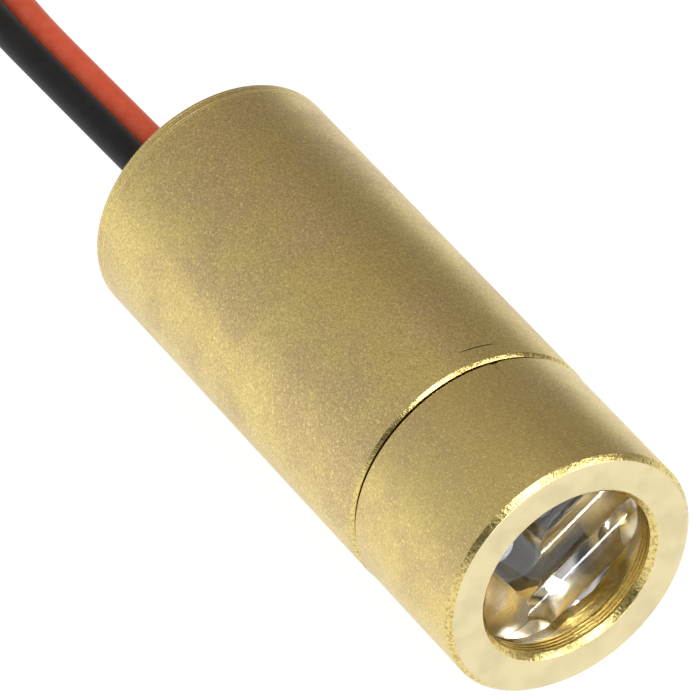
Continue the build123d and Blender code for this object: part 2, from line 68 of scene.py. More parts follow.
# Places along the beam axis and radii, all read from the frame
front_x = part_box("front_cap")[1].x
joint_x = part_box("front_cap")[0].x
rear_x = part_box("barrel")[0].x
neck_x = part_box("barrel")[1].x
lip_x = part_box("cross_line_lens")[1].x
lens_back_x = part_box("cross_line_lens")[0].x
bulkhead_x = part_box("lens_spring")[0].x
seat_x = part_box("diode_can")[0].x
header_back_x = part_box("diode_base")[0].x
plug_back_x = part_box("rear_plug")[0].x
plug_front_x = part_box("rear_plug")[1].x
barrel_r = reach("barrel")
cap_r = reach("front_cap")
lens_r = reach("cross_line_lens")
thread_r = reach("lens_retaining_ring")
cell_r = reach("lens_cell")
bore_r = reach("rear_plug")
floor_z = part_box("barrel")[0].z

# Angles past which an edge stays sharp
METAL_EDGE = math.radians(50)
LENS_EDGE = math.radians(28)
POTTING_EDGE = math.radians(40)


class HousingSettings(bpy.types.PropertyGroup):
    """Sizes and colours of the turned brass housing."""

    sides: IntProperty(name="Sides", description="Facets round the housing", default=360, min=64)
    mouth_radius: FloatProperty(
        name="Mouth radius", description="Radius of the front opening", default=3.03 * MM, unit="LENGTH"
    )
    mouth_chamfer: FloatProperty(
        name="Mouth chamfer", description="Chamfer round the mouth", default=0.18 * MM, unit="LENGTH"
    )
    front_edge: FloatProperty(
        name="Front edge", description="Chamfer round the cap's front", default=0.18 * MM, unit="LENGTH"
    )
    joint_slit: FloatProperty(
        name="Joint slit", description="Gap between cap and barrel", default=0.06 * MM, unit="LENGTH"
    )
    joint_edge: FloatProperty(
        name="Joint edge", description="Chamfers beside the joint", default=0.1 * MM, unit="LENGTH"
    )
    rear_edge: FloatProperty(
        name="Rear edge", description="Chamfers of the rear end", default=0.15 * MM, unit="LENGTH"
    )
    play: FloatProperty(
        name="Play", description="Clearance round the pieces inside", default=0.02 * MM, unit="LENGTH"
    )
    warm_brass: FloatVectorProperty(
        name="Warm brass", description="Clean brass", subtype="COLOR", size=3,
        default=(0.78, 0.62, 0.235),
    )
    olive_brass: FloatVectorProperty(
        name="Olive brass", description="Brass under a thin tarnish", subtype="COLOR", size=3,
        default=(0.66, 0.50, 0.245),
    )
    face_brass: FloatVectorProperty(
        name="Face brass", description="Freshly turned front ring", subtype="COLOR", size=3,
        default=(0.75, 0.65, 0.385),
    )


class LensSettings(bpy.types.PropertyGroup):
    """Sizes of the moulded cross-line lens."""

    rim: FloatProperty(
        name="Rim", description="Width of the lens's raised rim", default=0.25 * MM, unit="LENGTH"
    )
    base: FloatProperty(
        name="Base", description="Thickness under the ribs' valleys", default=1.0 * MM, unit="LENGTH"
    )
    pitch: FloatProperty(name="Pitch", description="From rib to rib", default=1.68 * MM, unit="LENGTH")
    rib_radius: FloatProperty(
        name="Rib radius", description="Radius of each rib", default=1.2 * MM, unit="LENGTH"
    )
    seam_angle: FloatProperty(
        name="Seam angle", description="Turn of the seam about the beam",
        default=math.radians(79.25), unit="ROTATION",
    )
    seam_valley: FloatProperty(
        name="Seam valley", description="Where a valley meets the seam, from its middle",
        default=0.1 * MM, unit="LENGTH",
    )
    film: FloatProperty(
        name="Air film", description="Air at the lens's seats", default=0.02 * MM, unit="LENGTH"
    )
    streaks: FloatProperty(
        name="Streaks", description="Depth of the ribs' streaks", default=0.0012 * MM, unit="LENGTH"
    )
    rib_steps: IntProperty(name="Rib steps", description="Faces across one rib", default=20, min=4)
    run_steps: IntProperty(name="Run steps", description="Faces along a rib", default=14, min=2)


class LeadSettings(bpy.types.PropertyGroup):
    """Sizes and colours of the two leads and their coil."""

    diameter: FloatProperty(
        name="Diameter", description="Across the insulation", default=1.1 * MM, unit="LENGTH"
    )
    coil_x: FloatProperty(
        name="Coil X", description="Middle of the coil", default=-44.0 * MM, unit="LENGTH"
    )
    coil_y: FloatProperty(
        name="Coil Y", description="Middle of the coil", default=-2.7 * MM, unit="LENGTH"
    )
    coil_diameter: FloatProperty(
        name="Coil diameter", description="Mean diameter of the coil", default=11.0 * MM, unit="LENGTH"
    )
    turn_points: IntProperty(
        name="Turn points", description="Route points in each turn", default=16, min=12
    )
    tie_lift: FloatProperty(
        name="Tie lift", description="How far the tie lifts the leads", default=0.22 * MM, unit="LENGTH"
    )
    strands: IntProperty(name="Strands", description="Strands round the middle one", default=6, min=3)
    strand_turns: FloatProperty(
        name="Strand turns", description="Turns of the twist over a bare end", default=0.9
    )
    red: FloatVectorProperty(
        name="Red", description="Red insulation", subtype="COLOR", size=3, default=(0.53, 0.076, 0.032)
    )
    black: FloatVectorProperty(
        name="Black", description="Black insulation", subtype="COLOR", size=3,
        default=(0.006, 0.006, 0.007),
    )


class StageSettings(bpy.types.PropertyGroup):
    """Camera, floor and lights."""

    focal_length: FloatProperty(
        name="Focal length", description="Of the lens, for a 36 mm wide sensor", default=471.2
    )
    floor_glow: FloatProperty(
        name="Floor glow", description="Brightness of the light table", default=0.95
    )
    key_power: FloatProperty(
        name="Key power", description="Power of the main soft light", default=0.8, unit="POWER"
    )
    bounces: IntProperty(
        name="Bounces", description="How often light may turn in the module", default=32, min=4
    )
    show_floor: BoolProperty(
        name="Show floor", description="Put the floor under the module", default=True
    )


def add_node(tree, kind, inputs=(), **settings):
    """A node with its settings, and its inputs given as values or as other nodes' outputs."""
    made = tree.nodes.new(kind)
    for name, value in settings.items():
        setattr(made, name, value)
    for name, value in dict(inputs).items():
        if isinstance(value, bpy.types.NodeSocket):
            tree.links.new(value, made.inputs[name])
        else:
            made.inputs[name].default_value = value
    return made


def shaded(colour, strength):
    """A colour made darker or lighter."""
    return [min(strength * part, 1.0) for part in colour]


class Finish:
    """A material's node tree, with a short call for each kind of node in use."""

    def __init__(self, name, **values):
        self.material = bpy.data.materials.new(name)
        self.material.use_nodes = True
        self.tree = self.material.node_tree
        self.tree.nodes.clear()
        output = self.tree.nodes.new("ShaderNodeOutputMaterial")
        self.shader = self.tree.nodes.new("ShaderNodeBsdfPrincipled")
        self.tree.links.new(self.shader.outputs["BSDF"], output.inputs["Surface"])
        for socket, value in values.items():
            self.set(socket.replace("_", " "), value)

    def set(self, socket, value):
        """Gives one of the shader's sockets a value, or links it to another node's output."""
        target = self.shader.inputs[socket]
        if isinstance(value, bpy.types.NodeSocket):
            self.tree.links.new(value, target)
        elif isinstance(value, tuple):
            target.default_value = (*value, 1)
        else:
            target.default_value = value

    def node(self, kind, inputs=(), **settings):
        return add_node(self.tree, "ShaderNode" + kind, inputs, **settings)

    def place(self):
        """The point on the surface, in metres."""
        return self.node("TexCoord").outputs["Object"]

    def split(self, vector):
        return self.node("SeparateXYZ", {"Vector": vector}).outputs

    def math(self, operation, first, second=0.0, third=0.0, clamp=False):
        inputs = {0: first, 1: second, 2: third}
        return self.node("Math", inputs, operation=operation, use_clamp=clamp).outputs[0]

    def vary(self, base, spread, by):
        """A value that rises from its base by up to the spread."""
        return self.math("MULTIPLY_ADD", by, spread, base)

    def noise(self, size, where, detail=2.0, roughness=0.5):
        """Soft noise from 0 to 1 whose features are about one size across."""
        inputs = {"Vector": where, "Scale": 1 / size, "Detail": detail, "Roughness": roughness}
        return self.node("TexNoise", inputs).outputs["Fac"]

    def line_noise(self, size, along, detail=2.0):
        """Noise that changes in one direction only, as turning marks do."""
        inputs = {"W": along, "Scale": 1 / size, "Detail": detail}
        return self.node("TexNoise", inputs, noise_dimensions="1D").outputs["Fac"]

    def ramp(self, value, low, high):
        """0 at low, 1 at high and smooth between them."""
        inputs = {"Value": value, "From Min": low, "From Max": high}
        return self.node("MapRange", inputs, interpolation_type="SMOOTHSTEP").outputs["Result"]

    def mix(self, share, first, second):
        """One colour or the other, or a share of both."""
        made = self.node("Mix", {"Factor": share}, data_type="RGBA")
        for socket, colour in ((made.inputs[6], first), (made.inputs[7], second)):
            if isinstance(colour, bpy.types.NodeSocket):
                self.tree.links.new(colour, socket)
            else:
                socket.default_value = (*colour, 1)
        return made.outputs[2]

    def bump(self, height, depth, after=None):
        """Surface relief: height runs from 0 to 1 over a depth in metres."""
        inputs = {"Height": height, "Distance": depth, "Strength": 1.0}
        if after is not None:
            inputs["Normal"] = after
        return self.node("Bump", inputs).outputs["Normal"]


# Sizes and depths of the detail on the tumbled brass
CLOUD_SIZE = 3.4 * MM
COARSE_GRAIN = 0.11 * MM
FINE_GRAIN = 0.055 * MM
GLINT_SIZE = 0.075 * MM
RING_PITCH = 0.05 * MM
RING_DEPTH = 0.0006 * MM
REAR_MARK_PITCH = 0.085 * MM
REAR_MARK_DEPTH = 0.02 * MM

# The turning marks fade in between these distances from the rear face
REAR_MARKS_START = 0.95 * MM
REAR_MARKS_FULL = 0.45 * MM


def brass_skin(
    name, settings, clean=0.5, roughness=0.36, relief=0.009 * MM, tones=(0.74, 1.04), marks=False
):
    """Tumbled outside of the housing: grain in two tones, bright specks of painted glint, tarnish and
    fine rings.
    """
    finish = Finish(name, Metallic=1.0)
    where = finish.place()
    along = finish.split(where)["X"]
    clouds = finish.noise(CLOUD_SIZE, where, detail=5.0, roughness=0.62)
    tarnish = finish.ramp(clouds, clean - 0.14, clean + 0.16)
    coarse = finish.noise(COARSE_GRAIN, where, detail=2.0, roughness=0.7)
    fine = finish.noise(FINE_GRAIN, where, detail=1.0, roughness=0.6)
    grain = finish.math("MULTIPLY_ADD", coarse, 0.5, finish.math("MULTIPLY", fine, 0.5))
    shades = []
    for strength in tones:
        dull = shaded(settings.olive_brass, strength)
        shades.append(finish.mix(tarnish, shaded(settings.warm_brass, strength), dull))
    colour = finish.mix(finish.ramp(grain, 0.36, 0.64), *shades)
    # Painted glints: a lighter copy of the brass, laid on small bright specks over the grain.
    glint_colour = shaded(settings.warm_brass, 1.3)
    glint_flecks = finish.ramp(finish.noise(GLINT_SIZE, where, detail=1.0), 0.60, 0.70)
    colour = finish.mix(finish.math("MULTIPLY", glint_flecks, 0.7), colour, glint_colour)
    normal = finish.bump(grain, relief)
    normal = finish.bump(finish.line_noise(RING_PITCH, along), RING_DEPTH, after=normal)
    if marks:
        near_rear = finish.ramp(along, rear_x + REAR_MARKS_START, rear_x + REAR_MARKS_FULL)
        lines = finish.line_noise(REAR_MARK_PITCH, along, detail=1.0)
        turning = finish.math("MULTIPLY", lines, near_rear)
        normal = finish.bump(turning, REAR_MARK_DEPTH, after=normal)
        # Painted highlights: the crests of the rear turning marks are lightened towards the glint
        # colour.
        crest_highlights = finish.math("MULTIPLY", finish.ramp(turning, 0.50, 0.66), 0.6)
        colour = finish.mix(crest_highlights, colour, glint_colour)
        colour, normal = rubbed_arc(finish, where, colour, normal)
    finish.set("Base Color", colour)
    finish.set("Roughness", finish.vary(roughness, 0.08, by=tarnish))
    finish.set("Normal", normal)
    return finish.material


def rubbed_arc(finish, where, colour, normal):
    """A dark arc where a tool has rubbed the top of the barrel, just behind the joint."""
    arc_x, arc_y, slant = 4.34 * MM, 0.5 * MM, 0.075
    half_width, half_length, depth = 0.045 * MM, 0.75 * MM, 0.01 * MM
    darkness, soot = 0.92, (0.08, 0.04, 0.025)
    parts = finish.split(where)
    wander = finish.math("MULTIPLY", parts["Y"], slant)
    off_x = finish.math("SUBTRACT", finish.math("SUBTRACT", parts["X"], arc_x), wander)
    off_line = finish.math("DIVIDE", finish.math("ABSOLUTE", off_x), half_width)
    off_y = finish.math("SUBTRACT", parts["Y"], arc_y)
    off_arc = finish.math("DIVIDE", finish.math("ABSOLUTE", off_y), half_length)
    near = finish.math("MULTIPLY", finish.ramp(off_line, 1.0, 0.3), finish.ramp(off_arc, 1.0, 0.5))
    on_top = finish.ramp(parts["Z"], 0.0, 1.0 * MM)
    mark = finish.math("MULTIPLY", near, on_top, clamp=True)
    colour = finish.mix(finish.math("MULTIPLY", mark, darkness), colour, soot)
    return colour, finish.bump(finish.math("SUBTRACT", 1.0, mark), depth, after=normal)


def turned_face(name, colour, roughness=0.3):
    """Flat end face with fine turning rings."""
    finish = Finish(name, Metallic=1.0)
    where = finish.place()
    parts = finish.split(where)
    squares = [finish.math("POWER", parts[axis], 2.0) for axis in "YZ"]
    radius = finish.math("SQRT", finish.math("ADD", *squares))
    rings = finish.line_noise(0.06 * MM, radius, detail=3.0)
    grain = finish.noise(0.06 * MM, where, detail=2.0)
    clouds = finish.noise(1.2 * MM, where, detail=3.0)
    finish.set("Base Color", finish.mix(finish.ramp(clouds, 0.35, 0.7), colour, shaded(colour, 0.86)))
    finish.set("Roughness", finish.vary(roughness, 0.1, by=clouds))
    normal = finish.bump(rings, 0.0012 * MM)
    finish.set("Normal", finish.bump(grain, 0.0012 * MM, after=normal))
    return finish.material


def bright_edge(name, colour, roughness=0.2):
    """Chamfer cut with a sharp tool: bright, with darker mottles."""
    finish = Finish(name, Metallic=1.0)
    where = finish.place()
    mottle = finish.noise(0.12 * MM, where, detail=3.0, roughness=0.7)
    light = finish.ramp(mottle, 0.35, 0.55)
    finish.set("Base Color", finish.mix(light, shaded(colour, 0.55), colour))
    finish.set("Roughness", roughness)
    finish.set("Normal", finish.bump(mottle, 0.016 * MM))
    return finish.material


def bored_wall(name, colour, roughness=0.2):
    """Bored inside wall, with turning lines round it."""
    finish = Finish(name, Metallic=1.0)
    where = finish.place()
    along = finish.split(where)["X"]
    lines = finish.line_noise(0.09 * MM, along, detail=3.0)
    mottle = finish.noise(0.1 * MM, where, detail=2.0, roughness=0.7)
    light = finish.ramp(mottle, 0.3, 0.65)
    finish.set("Base Color", finish.mix(light, shaded(colour, 0.7), colour))
    finish.set("Roughness", roughness)
    normal = finish.bump(lines, 0.006 * MM)
    finish.set("Normal", finish.bump(mottle, 0.006 * MM, after=normal))
    return finish.material


def grained(finish, colour, shade, roughness, spread, grain, depth):
    """Gives a finish a fine grain in its colour, its roughness and its relief."""
    fine = finish.noise(grain, finish.place(), detail=3.0)
    light = finish.ramp(fine, 0.3, 0.7)
    finish.set("Base Color", finish.mix(light, shaded(colour, shade), colour))
    finish.set("Roughness", finish.vary(roughness, spread, by=fine))
    finish.set("Normal", finish.bump(fine, depth))
    return finish.material


def plain_metal(name, colour, roughness, depth=0.001 * MM):
    """Metal of an inner piece, with a little grain."""
    finish = Finish(name, Metallic=1.0)
    return grained(finish, colour, 0.85, roughness, spread=0.1, grain=0.1 * MM, depth=depth)


def moulded(name, colour, roughness, grain=0.15 * MM, depth=0.003 * MM):
    """Plain moulded, cast or fired surface with a fine grain."""
    finish = Finish(name, IOR=1.5)
    return grained(finish, colour, 0.8, roughness, spread=0.15, grain=grain, depth=depth)


def clear_lens_plastic(settings):
    """Clear moulded plastic, with fine streaks along the ribs from the cutter that made its mould."""
    finish = Finish("clear_lens_plastic", Base_Color=(0.985, 0.99, 1.0), Roughness=0.015, IOR=1.49)
    finish.set("Transmission Weight", 1.0)
    where = finish.place()
    parts = finish.split(where)
    seam_y, seam_z = math.cos(settings.seam_angle), math.sin(settings.seam_angle)
    turned_y = finish.math("MULTIPLY", parts["Y"], seam_y)
    along_seam = finish.math("MULTIPLY_ADD", parts["Z"], seam_z, turned_y)
    turned_y = finish.math("MULTIPLY", parts["Y"], seam_z)
    off_seam = finish.math("ABSOLUTE", finish.math("MULTIPLY_ADD", parts["Z"], -seam_y, turned_y))
    across = finish.math("MULTIPLY", finish.math("SUBTRACT", along_seam, off_seam), RIB_LEAN)
    normal = finish.bump(finish.line_noise(0.07 * MM, across, detail=3.0), settings.streaks)
    ripples = finish.noise(0.4 * MM, where, detail=2.0)
    finish.set("Normal", finish.bump(ripples, 0.001 * MM, after=normal))
    return finish.material


def clear_glass(name, colour, coat):
    """Optical glass, with the tinted gloss of its coating."""
    finish = Finish(name, Base_Color=colour, Roughness=0.03, IOR=1.6, Specular_Tint=coat)
    finish.set("Transmission Weight", 1.0)
    dust = finish.noise(0.2 * MM, finish.place(), detail=3.0)
    finish.set("Normal", finish.bump(dust, 0.0004 * MM))
    return finish.material


def lead_insulation(name, colour, fade):
    """Extruded plastic, a little faded in patches, with a fine grain."""
    finish = Finish(name, IOR=1.5, Specular_IOR_Level=0.25)
    where = finish.place()
    patches = finish.noise(0.5 * MM, where, detail=4.0)
    fine = finish.noise(0.12 * MM, where, detail=2.0)
    finish.set("Base Color", finish.mix(finish.ramp(patches, 0.35, 0.75), colour, fade))
    finish.set("Roughness", finish.vary(0.42, 0.15, by=patches))
    finish.set("Normal", finish.bump(fine, 0.004 * MM))
    return finish.material


def finish_piece(piece, slot, *nodes):
    """Rides a finished piece on the body and hides the nodes that it stands for; the slot is not used.
    """
    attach(piece, BODY)
    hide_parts(*nodes)
    return piece


def placed(name, data):
    """A new object in the scene."""
    piece = bpy.data.objects.new(name, data)
    bpy.context.scene.collection.objects.link(piece)
    return piece


def mesh_piece(name, shape, materials):
    """An object made from a bmesh, which is then freed."""
    mesh = bpy.data.meshes.new(name)
    shape.to_mesh(mesh)
    shape.free()
    for material in materials:
        mesh.materials.append(material)
    return placed(name, mesh)


def smooth_outward(shape):
    """Turns every face outwards and shades it smooth."""
    bmesh.ops.recalc_face_normals(shape, faces=shape.faces)
    for face in shape.faces:
        face.smooth = True


def ring_angles(sides):
    """Angles of the points in one ring about the beam axis."""
    return [2 * math.pi * k / sides for k in range(sides)]


def rounded(outline, radius, steps=3):
    """The outline with a small arc at each corner. Its points carry a finish number."""
    points = []
    count = len(outline)
    for n, (x, r, finish) in enumerate(outline):
        here = Vector((x, r))
        before = Vector(outline[n - 1][:2])
        after = Vector(outline[(n + 1) % count][:2])
        arriving = (here - before).normalized()
        leaving = (after - here).normalized()
        longest_cut = 0.3 * min((here - before).length, (after - here).length)
        cut = min(radius * math.tan(arriving.angle(leaving) / 2), longest_cut)
        start = here - arriving * cut
        end = here + leaving * cut
        for step in range(steps + 1):
            share = step / steps
            on_arc = start.lerp(here, share).lerp(here.lerp(end, share), share)
            points.append((on_arc.x, on_arc.y, finish if step == steps else outline[n - 1][2]))
    return points


def turned(name, outline, sides, materials):
    """A piece turned about the beam axis from a closed outline of (x, radius, next face's finish)."""
    shape = bmesh.new()
    angles = ring_angles(sides)
    rings = []
    for x, r, _ in outline:
        rings.append([shape.verts.new((x, r * math.cos(a), r * math.sin(a))) for a in angles])
    for n, (_, _, finish) in enumerate(outline):
        this, following = rings[n], rings[(n + 1) % len(rings)]
        for k in range(sides):
            corners = (this[k], this[(k + 1) % sides], following[(k + 1) % sides], following[k])
            shape.faces.new(corners).material_index = finish
    smooth_outward(shape)
    piece = mesh_piece(name, shape, materials)
    piece.data.set_sharp_from_angle(angle=METAL_EDGE)
    return piece


def press_in(piece, centre, width, depth):
    """A small dent: points near the centre move towards the beam axis."""
    for vertex in piece.data.vertices:
        away = (vertex.co - centre).length / width
        if away < 1:
            inward = Vector((0, -vertex.co.y, -vertex.co.z)).normalized()
            vertex.co += inward * depth * (1 - away * away) ** 2


# Places of the housing's finishes in its list of materials
SKIN, FACE, EDGE, BORE = range(4)

# Grooves in the mouth's bore, at these shares of its length
GROOVE_SHARES = (0.25, 0.5, 0.75)
GROOVE_HALF = 0.05 * MM
GROOVE_DEPTH = 0.02 * MM

# The cap's rear edge has a small dent
DENT_PLACE = Vector((5.16 * MM, 0.59 * MM, 4.46 * MM))
DENT_WIDTH = 0.22 * MM
DENT_DEPTH = 0.10 * MM

# Clearance round the lens and the can, and the size of the arcs on the corners
LOOSE_PLAY = 0.05 * MM
CAP_CORNERS = 0.025 * MM
BARREL_CORNERS = 0.03 * MM


class MODULE_OT_front_cap(bpy.types.Operator):
    """Turns the front cap, with its mouth, lip, lens pocket and thread bore"""

    bl_idname = "module.front_cap"
    bl_label = "Front cap"

    def execute(self, context):
        s = context.scene.module_housing
        mouth = s.mouth_radius
        pocket_r = lens_r + LOOSE_PLAY
        cap_rear_x = joint_x + s.joint_slit
        outline = [
            (front_x, mouth + s.mouth_chamfer, FACE),
            (front_x, cap_r - s.front_edge, EDGE),
            (front_x - s.front_edge, cap_r, SKIN),
            (cap_rear_x + s.joint_edge, cap_r, EDGE),
            (cap_rear_x, cap_r - s.joint_edge, BORE),
            (cap_rear_x, thread_r + s.play, BORE),
            (lens_back_x, thread_r + s.play, BORE),
            (lens_back_x, pocket_r, BORE),
            (lip_x, pocket_r, BORE),
            (lip_x, mouth, BORE),
        ]
        wall = front_x - s.mouth_chamfer - lip_x
        for share in GROOVE_SHARES:
            at = lip_x + wall * share
            outline += [(at - GROOVE_HALF, mouth, BORE), (at, mouth + GROOVE_DEPTH, BORE)]
            outline.append((at + GROOVE_HALF, mouth, BORE))
        outline.append((front_x - s.mouth_chamfer, mouth, EDGE))
        materials = [
            brass_skin(
                "cap_skin", s, clean=0.56, roughness=0.34, relief=0.006 * MM, tones=(0.80, 1.02)
            ),
            turned_face("front_ring", s.face_brass),
            bright_edge("cap_edge", s.warm_brass),
            bored_wall("cap_bore", s.warm_brass),
        ]
        cap = turned("front_cap_turned", rounded(outline, CAP_CORNERS), s.sides, materials)
        press_in(cap, DENT_PLACE, DENT_WIDTH, DENT_DEPTH)
        finish_piece(cap, "cap_brass", "front_cap")
        return {"FINISHED"}


class MODULE_OT_barrel(bpy.types.Operator):
    """Turns the barrel, with its neck, bulkhead, diode seat and rear bore"""

    bl_idname = "module.barrel"
    bl_label = "Barrel"

    def execute(self, context):
        s = context.scene.module_housing
        can_hole_r = reach("diode_can") + LOOSE_PLAY
        seat_r = reach("diode_base") + s.play
        outline = [
            (joint_x, barrel_r - s.joint_edge, EDGE),
            (joint_x - s.joint_edge, barrel_r, SKIN),
            (rear_x + s.rear_edge, barrel_r, EDGE),
            (rear_x, barrel_r - s.rear_edge, FACE),
            (rear_x, bore_r + s.rear_edge, EDGE),
            (rear_x + s.rear_edge, bore_r, BORE),
            (header_back_x, bore_r, BORE),
            (header_back_x, seat_r, BORE),
            (seat_x, seat_r, BORE),
            (seat_x, can_hole_r, BORE),
            (bulkhead_x, can_hole_r, BORE),
            (bulkhead_x, cell_r + s.play, BORE),
            (neck_x, cell_r + s.play, BORE),
            (neck_x, thread_r, BORE),
            (joint_x, thread_r, BORE),
        ]
        materials = [
            brass_skin("barrel_skin", s, marks=True),
            turned_face("rear_ring", s.warm_brass),
            bright_edge("barrel_edge", s.warm_brass),
            bored_wall("barrel_bore", s.warm_brass),
        ]
        barrel = turned("barrel_turned", rounded(outline, BARREL_CORNERS), s.sides, materials)
        finish_piece(barrel, "barrel_brass", "barrel")
        return {"FINISHED"}


# The ribs run at 45 degrees to the seam
RIB_LEAN = math.sin(math.radians(45))

# Lens points this near are merged, and edges this short are dissolved
SAME_POINT = 1e-7
NO_LENGTH = 1e-8


def rib_height(s, across):
    """How far a rib's surface stands above the valleys, at a distance across the ribs."""
    half = s.pitch / 2
    phase = s.seam_valley * RIB_LEAN
    from_crest = (across - phase) % s.pitch - half
    return math.sqrt(s.rib_radius**2 - from_crest**2) - math.sqrt(s.rib_radius**2 - half**2)


def rib_stations(s, field_r):
    """Distances across the ribs: each valley and the steps between two valleys, over half the lens."""
    phase = s.seam_valley * RIB_LEAN
    step = s.pitch / s.rib_steps
    first = math.ceil((-field_r - phase) / step)
    last = math.floor((field_r * RIB_LEAN - phase) / step)
    stations = [phase + n * step for n in range(first, last + 1)]
    ends = [-field_r, -field_r * RIB_LEAN, field_r * RIB_LEAN]
    closest = 0.2 * step
    inner = [place for place in stations if all(abs(place - end) > closest for end in ends)]
    return sorted(inner + ends)


def add_ribs(shape, s, field_r):
    """The front inside the rim: on each side of the seam, ribs that run from it to the rim."""
    valley_x = lens_back_x + s.base
    seam = Vector((0, math.cos(s.seam_angle), math.sin(s.seam_angle)))
    aside = Vector((0, math.sin(s.seam_angle), -math.cos(s.seam_angle)))
    for side in (1, -1):
        along_rib = (seam + side * aside).normalized()
        across_rib = (seam - side * aside).normalized()
        rows = []
        for across in rib_stations(s, field_r):
            reach_out = math.sqrt(max(field_r**2 - across**2, 0))
            start = max(across, -reach_out)
            end = max(reach_out, start)
            height = Vector((valley_x + rib_height(s, across), 0, 0))
            row = []
            for n in range(s.run_steps + 1):
                run = start + (end - start) * n / s.run_steps
                row.append(shape.verts.new(height + across_rib * across + along_rib * run))
            rows.append(row)
        for this, following in zip(rows, rows[1:]):
            for n in range(s.run_steps):
                shape.faces.new((this[n], this[n + 1], following[n + 1], following[n]))
    bmesh.ops.remove_doubles(shape, verts=shape.verts, dist=SAME_POINT)
    bmesh.ops.dissolve_degenerate(shape, edges=shape.edges, dist=NO_LENGTH)


def open_border(shape):
    return [edge for edge in shape.edges if edge.is_boundary]


class MODULE_OT_cross_line_lens(bpy.types.Operator):
    """Moulds the clear lens: two halves of ribs that meet at a seam, inside a raised rim"""

    bl_idname = "module.cross_line_lens"
    bl_label = "Cross-line lens"

    def execute(self, context):
        s = context.scene.module_lens
        field_r = lens_r - s.rim
        shape = bmesh.new()
        add_ribs(shape, s, field_r)
        rim_x = lip_x - s.film
        for radius, x in ((field_r, rim_x), (lens_r, rim_x), (lens_r, lens_back_x + s.film)):
            grown = bmesh.ops.extrude_edge_only(shape, edges=open_border(shape))["geom"]
            for vertex in (part for part in grown if isinstance(part, bmesh.types.BMVert)):
                flat = Vector((0, vertex.co.y, vertex.co.z)).normalized() * radius
                vertex.co = Vector((x, flat.y, flat.z))
        bmesh.ops.contextual_create(shape, geom=open_border(shape))
        smooth_outward(shape)
        lens = mesh_piece("cross_line_lens_ribbed", shape, [clear_lens_plastic(s)])
        lens.data.set_sharp_from_angle(angle=LENS_EDGE)
        finish_piece(lens, "clear_plastic", "cross_line_lens")
        return {"FINISHED"}


# Route points of both leads in millimetres: out of the housing, straight
# back, down to the surface and to the coil
RED_ROUTE = [
    (-9.1, 0.40, -0.80),
    (-17.4, 0.40, -1.13),
    (-25.6, 0.42, -1.44),
    (-33.7, 3.35, -3.95),
    (-39.1, 3.35, -3.95),
]
BLACK_ROUTE = [
    (-9.1, -0.70, -0.53),
    (-17.4, -0.70, -0.88),
    (-25.8, -0.69, -1.22),
    (-33.9, 2.25, -3.95),
    (-39.1, 2.25, -3.95),
]


def route_start(points):
    """Where a lead passes the potting's face, as (y, z)."""
    first, second = (Vector(point) * MM for point in points[:2])
    share = (plug_back_x - first.x) / (second.x - first.x)
    crossing = first.lerp(second, share)
    return crossing.y, crossing.z


# How high the potting creeps up the wall and the leads, and how far out from them
WALL_CREEP = 0.12 * MM
LEAD_CREEP = 1.4 * WALL_CREEP
WALL_CREEP_REACH = 0.25 * MM
LEAD_CREEP_REACH = 0.22 * MM


def potting_rise(y, z, holes, lead_r):
    """How far the potting stands up at a point: most at the wall and round each lead."""
    rise = WALL_CREEP * math.exp(-(bore_r - math.hypot(y, z)) / WALL_CREEP_REACH)
    for hole_y, hole_z in holes:
        away = max(math.hypot(y - hole_y, z - hole_z) - lead_r, 0)
        rise += LEAD_CREEP * math.exp(-away / LEAD_CREEP_REACH)
    return rise


class MODULE_OT_rear_plug(bpy.types.Operator):
    """Pours the potting of the rear end, which creeps up the wall and the leads"""

    bl_idname = "module.rear_plug"
    bl_label = "Rear potting"

    def execute(self, context):
        lead_r = context.scene.module_leads.diameter / 2
        holes = [route_start(points) for points in (RED_ROUTE, BLACK_ROUTE)]
        rings, sides = 28, 144
        shape = bmesh.new()

        def back_point(y, z):
            return shape.verts.new((plug_back_x - potting_rise(y, z, holes, lead_r), y, z))

        middle = back_point(0, 0)
        back = []
        for n in range(1, rings + 1):
            r = bore_r * n / rings
            back.append([back_point(r * math.cos(a), r * math.sin(a)) for a in ring_angles(sides)])
        front = [shape.verts.new((plug_front_x, v.co.y, v.co.z)) for v in back[-1]]
        for k in range(sides):
            beside = (k + 1) % sides
            shape.faces.new((middle, back[0][k], back[0][beside]))
            for this, following in zip(back, [*back[1:], front]):
                shape.faces.new((this[k], following[k], following[beside], this[beside]))
        shape.faces.new(front)
        smooth_outward(shape)
        potting = moulded("black_potting", (0.02, 0.02, 0.022), 0.22, grain=0.9 * MM, depth=0.02 * MM)
        plug = mesh_piece("rear_potting", shape, [potting])
        plug.data.set_sharp_from_angle(angle=POTTING_EDGE)
        finish_piece(plug, "black_potting", "rear_plug")
        return {"FINISHED"}


# The coil, in degrees: its start and end, the tie's places and reach, and the leads' climb
COIL_START, COIL_END = 90, 630
TIE_ANGLES = (180, 540)
TIE_REACH = 40
CLIMB_START, CLIMB_SPAN = 335, 65

# The tail's slope: shares of its run, and its height in diameters of the lead
TAIL_SLOPE = ((0.0, 1.0), (0.3, 0.82), (0.65, 0.2), (0.9, 0.0), (1.0, 0.0))

# Insulation where it has faded
LEAD_FADES = {"red": (0.57, 0.10, 0.050), "black": (0.011, 0.011, 0.011)}


def smooth_step(value):
    """From 0 to 1 with level ends."""
    value = min(max(value, 0), 1)
    return value * value * (3 - 2 * value)


